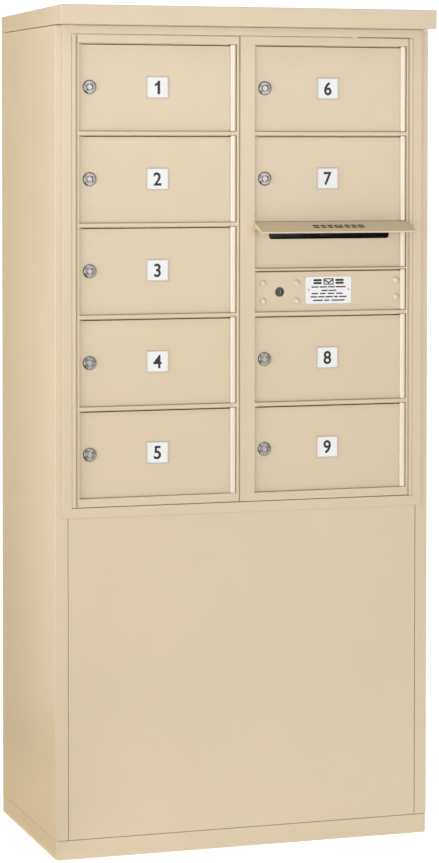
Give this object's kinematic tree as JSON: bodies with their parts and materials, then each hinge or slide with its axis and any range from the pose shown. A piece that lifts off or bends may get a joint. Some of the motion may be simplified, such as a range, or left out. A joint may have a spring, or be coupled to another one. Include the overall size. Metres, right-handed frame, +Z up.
{
  "type": "cluster mailbox unit",
  "caption": "Free-standing sheet-metal cabinet with two pivoting master doors that carry locked tenant doors, a hooded outgoing mail slot and a master lock.",
  "frame": {"origin": "on the floor at the centre of the cabinet's footprint, on the underside of the plinth", "axes": "+Z up; the doors face -Y; +X is to the right of someone facing the doors"},
  "size_m": [0.771, 0.4763, 1.654],
  "materials": {
    "enclosure_paint": "semi-gloss sandstone powder coat",
    "trim_paint": "semi-gloss sandstone powder coat",
    "master_paint": "semi-gloss sandstone powder coat",
    "door_paint": "semi-gloss sandstone powder coat",
    "lock_chrome": "bright chrome",
    "lock_steel": "brushed",
    "rack_metal": "mill finish",
    "hinge_steel": "brushed",
    "black_finish": "matt black",
    "label_white": "satin white"
  },
  "bodies": {
    "cabinet": {"side_panel_left": "enclosure_paint", "side_panel_right": "enclosure_paint", "back_panel": "enclosure_paint", "top_cap": "enclosure_paint", "base_plinth": "enclosure_paint", "lower_front_panel": "enclosure_paint", "support_shelf": "enclosure_paint", "trim_top": "trim_paint", "trim_bottom": "trim_paint", "trim_left": "trim_paint", "trim_right": "trim_paint", "master_hinge_strip_left": "trim_paint", "master_hinge_strip_right": "trim_paint", "master_hinge_rod_left": "trim_paint", "master_hinge_rod_right": "trim_paint", "compartment_rack_left": "rack_metal", "compartment_rack_right": "rack_metal", "master_strike": "rack_metal"},
    "master_left": {"master_door_left": "master_paint", "tenant_hinge_rod_left": "hinge_steel"},
    "master_right": {"master_door_right": "master_paint", "tenant_hinge_rod_right": "hinge_steel", "outgoing_panel": "master_paint", "outgoing_hood": "master_paint", "slot_baffle": "black_finish", "lock_panel": "master_paint", "lock_bracket": "master_paint", "end_bracket": "master_paint", "master_lock_body": "lock_steel", "label_plate": "label_white"},
    "master_lock": {"master_lock_plug": "lock_steel"},
    "tenant_1": {"tenant_door_1": "door_paint", "lock_body_1": "lock_chrome"},
    "lock_1": {"lock_plug_1": "lock_steel"},
    "tenant_2": {"tenant_door_2": "door_paint", "lock_body_2": "lock_chrome"},
    "lock_2": {"lock_plug_2": "lock_steel"},
    "tenant_3": {"tenant_door_3": "door_paint", "lock_body_3": "lock_chrome"},
    "lock_3": {"lock_plug_3": "lock_steel"},
    "tenant_4": {"tenant_door_4": "door_paint", "lock_body_4": "lock_chrome"},
    "lock_4": {"lock_plug_4": "lock_steel"},
    "tenant_5": {"tenant_door_5": "door_paint", "lock_body_5": "lock_chrome"},
    "lock_5": {"lock_plug_5": "lock_steel"},
    "tenant_6": {"tenant_door_6": "door_paint", "lock_body_6": "lock_chrome"},
    "lock_6": {"lock_plug_6": "lock_steel"},
    "tenant_7": {"tenant_door_7": "door_paint", "lock_body_7": "lock_chrome"},
    "lock_7": {"lock_plug_7": "lock_steel"},
    "tenant_8": {"tenant_door_8": "door_paint", "lock_body_8": "lock_chrome"},
    "lock_8": {"lock_plug_8": "lock_steel"},
    "tenant_9": {"tenant_door_9": "door_paint", "lock_body_9": "lock_chrome"},
    "lock_9": {"lock_plug_9": "lock_steel"}
  },
  "joints": [
    {"name": "master_left_hinge", "type": "hinge", "parent": "cabinet", "child": "master_left", "pos_m": [-0.3425, -0.2165, 0.6846], "axis": [0, 0, -1], "range_deg": [0, 90]},
    {"name": "master_right_hinge", "type": "hinge", "parent": "cabinet", "child": "master_right", "pos_m": [0.3442, -0.2165, 0.6846], "axis": [0, 0, 1], "range_deg": [0, 90]},
    {"name": "master_lock_turn", "type": "hinge", "parent": "master_right", "child": "master_lock", "pos_m": [0.0731, -0.2113, 1.0961], "axis": [0, 1, 0], "range_deg": [0, 90]},
    {"name": "tenant_1_hinge", "type": "hinge", "parent": "master_left", "child": "tenant_1", "pos_m": [-0.0248, -0.2111, 1.4976], "axis": [0, 0, 1], "range_deg": [0, 95]},
    {"name": "lock_1_turn", "type": "hinge", "parent": "tenant_1", "child": "lock_1", "pos_m": [-0.3161, -0.2113, 1.4976], "axis": [0, 1, 0], "range_deg": [0, 90]},
    {"name": "tenant_2_hinge", "type": "hinge", "parent": "master_left", "child": "tenant_2", "pos_m": [-0.0248, -0.2111, 1.3198], "axis": [0, 0, 1], "range_deg": [0, 95]},
    {"name": "lock_2_turn", "type": "hinge", "parent": "tenant_2", "child": "lock_2", "pos_m": [-0.3161, -0.2113, 1.3198], "axis": [0, 1, 0], "range_deg": [0, 90]},
    {"name": "tenant_3_hinge", "type": "hinge", "parent": "master_left", "child": "tenant_3", "pos_m": [-0.0248, -0.2111, 1.142], "axis": [0, 0, 1], "range_deg": [0, 95]},
    {"name": "lock_3_turn", "type": "hinge", "parent": "tenant_3", "child": "lock_3", "pos_m": [-0.3161, -0.2113, 1.142], "axis": [0, 1, 0], "range_deg": [0, 90]},
    {"name": "tenant_4_hinge", "type": "hinge", "parent": "master_left", "child": "tenant_4", "pos_m": [-0.0248, -0.2111, 0.9642], "axis": [0, 0, 1], "range_deg": [0, 95]},
    {"name": "lock_4_turn", "type": "hinge", "parent": "tenant_4", "child": "lock_4", "pos_m": [-0.3161, -0.2113, 0.9642], "axis": [0, 1, 0], "range_deg": [0, 90]},
    {"name": "tenant_5_hinge", "type": "hinge", "parent": "master_left", "child": "tenant_5", "pos_m": [-0.0248, -0.2111, 0.7864], "axis": [0, 0, 1], "range_deg": [0, 95]},
    {"name": "lock_5_turn", "type": "hinge", "parent": "tenant_5", "child": "lock_5", "pos_m": [-0.3161, -0.2113, 0.7864], "axis": [0, 1, 0], "range_deg": [0, 90]},
    {"name": "tenant_6_hinge", "type": "hinge", "parent": "master_right", "child": "tenant_6", "pos_m": [0.3327, -0.2111, 1.4976], "axis": [0, 0, 1], "range_deg": [0, 95]},
    {"name": "lock_6_turn", "type": "hinge", "parent": "tenant_6", "child": "lock_6", "pos_m": [0.0414, -0.2113, 1.4976], "axis": [0, 1, 0], "range_deg": [0, 90]},
    {"name": "tenant_7_hinge", "type": "hinge", "parent": "master_right", "child": "tenant_7", "pos_m": [0.3327, -0.2111, 1.3198], "axis": [0, 0, 1], "range_deg": [0, 95]},
    {"name": "lock_7_turn", "type": "hinge", "parent": "tenant_7", "child": "lock_7", "pos_m": [0.0414, -0.2113, 1.3198], "axis": [0, 1, 0], "range_deg": [0, 90]},
    {"name": "tenant_8_hinge", "type": "hinge", "parent": "master_right", "child": "tenant_8", "pos_m": [0.3327, -0.2111, 0.9642], "axis": [0, 0, 1], "range_deg": [0, 95]},
    {"name": "lock_8_turn", "type": "hinge", "parent": "tenant_8", "child": "lock_8", "pos_m": [0.0414, -0.2113, 0.9642], "axis": [0, 1, 0], "range_deg": [0, 90]},
    {"name": "tenant_9_hinge", "type": "hinge", "parent": "master_right", "child": "tenant_9", "pos_m": [0.3327, -0.2111, 0.7864], "axis": [0, 0, 1], "range_deg": [0, 95]},
    {"name": "lock_9_turn", "type": "hinge", "parent": "tenant_9", "child": "lock_9", "pos_m": [0.0414, -0.2113, 0.7864], "axis": [0, 1, 0], "range_deg": [0, 90]}
  ]
}
